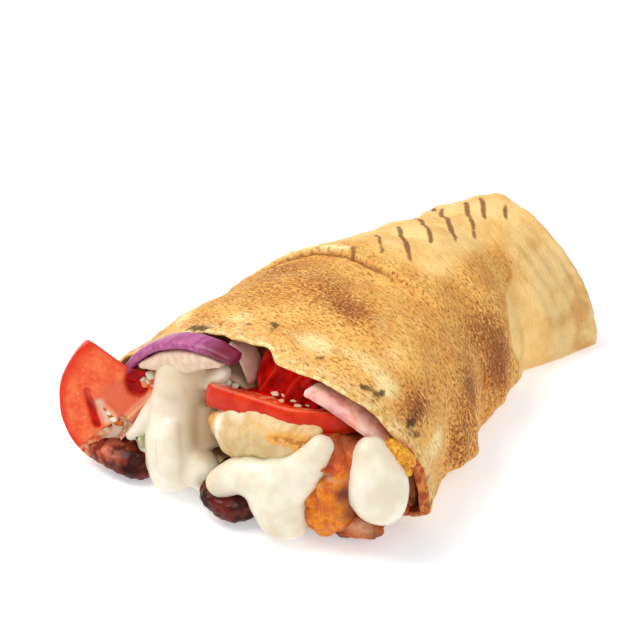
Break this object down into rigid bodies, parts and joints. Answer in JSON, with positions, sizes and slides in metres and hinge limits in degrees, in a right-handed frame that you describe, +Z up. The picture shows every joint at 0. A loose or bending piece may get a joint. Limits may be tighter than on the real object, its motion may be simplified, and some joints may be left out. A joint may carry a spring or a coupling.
{
  "type": "chicken shawarma wrap",
  "caption": "Toasted flatbread roll lying on its flat side, folded shut at the tail, with chicken, tomato, red onion and garlic sauce showing at its open mouth.",
  "frame": {"origin": "middle of the bounding box's underside, on the surface the wrap lies on", "axes": "+Y along the wrap from its open mouth to its folded tail, +Z up, +X to the right for someone who looks into the mouth"},
  "size_m": [0.1256, 0.1758, 0.0587],
  "materials": {
    "flatbread": "toasted golden flatbread, matt, with brown patches and grill marks",
    "tomato": "wet raw tomato, glossy skin and moist cut face",
    "onion_purple": "raw red onion, satin with a thin dark skin",
    "onion_pale": "raw onion flesh, satin and slightly translucent",
    "chicken_pale": "cooked chicken breast, cream with golden seared patches",
    "chicken_spiced": "chicken in orange-red spice and oil, moist",
    "chicken_dark": "dark grilled chicken edge, reddish brown, moist",
    "chicken_golden": "golden crisp shreds of chicken",
    "pickle": "pale olive pickle with a dark skin edge, moist",
    "garlic_sauce": "thick creamy garlic sauce, soft gloss"
  },
  "bodies": {
    "root": {"flatbread": "flatbread", "tomato_slice_left": "tomato", "tomato_slice_middle": "tomato", "tomato_piece_inner": "tomato", "chicken_strip_pale": "chicken_pale", "chicken_strip_spiced": "chicken_spiced", "chicken_strip_dark_left": "chicken_dark", "chicken_strip_dark_middle": "chicken_dark", "pickle_slice": "pickle", "chicken_bit_right": "chicken_spiced", "chicken_crumb_golden": "chicken_golden", "onion_ring_purple": "onion_purple", "onion_ring_white": "onion_pale", "onion_strip_right": "onion_purple", "onion_sliver_brown": "onion_pale", "onion_sheet_pale": "onion_pale", "garlic_sauce_right": "garlic_sauce", "garlic_sauce_middle": "garlic_sauce", "garlic_sauce": "garlic_sauce"}
  },
  "joints": []
}
